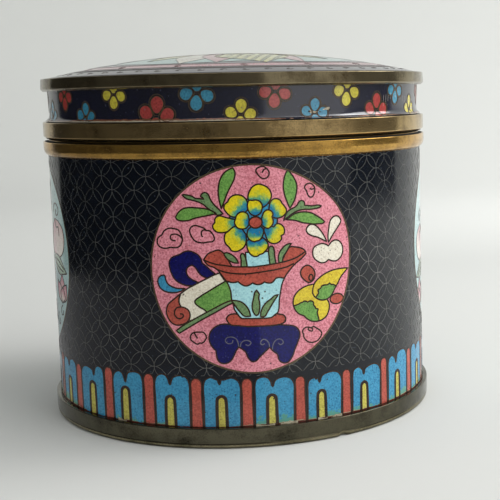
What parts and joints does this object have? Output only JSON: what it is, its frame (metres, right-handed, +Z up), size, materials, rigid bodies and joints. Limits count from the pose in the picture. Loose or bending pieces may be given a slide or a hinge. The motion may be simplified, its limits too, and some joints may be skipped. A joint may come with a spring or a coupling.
{
  "type": "cloisonne lidded jar",
  "caption": "Straight-sided round jar of enamelled copper with brass rims and a low domed lift-off lid.",
  "frame": {"origin": "centre of the foot, on the surface the jar stands on", "axes": "+Z up along the axis of the jar, -Y towards the middle of the front medallion, +X to the right seen from the front"},
  "size_m": [0.1164, 0.1164, 0.1062],
  "materials": {
    "enamel": "glassy polished enamel on copper, near-black with inlaid colours, slightly pitted",
    "brass": "old brass, worn bright on the edges and brown in the hollows"
  },
  "bodies": {
    "root": {"jar_body": "enamel", "foot_rim": "brass", "mouth_rim": "brass", "lid": "enamel", "lid_lower_rim": "brass", "lid_upper_rim": "brass"}
  },
  "joints": []
}
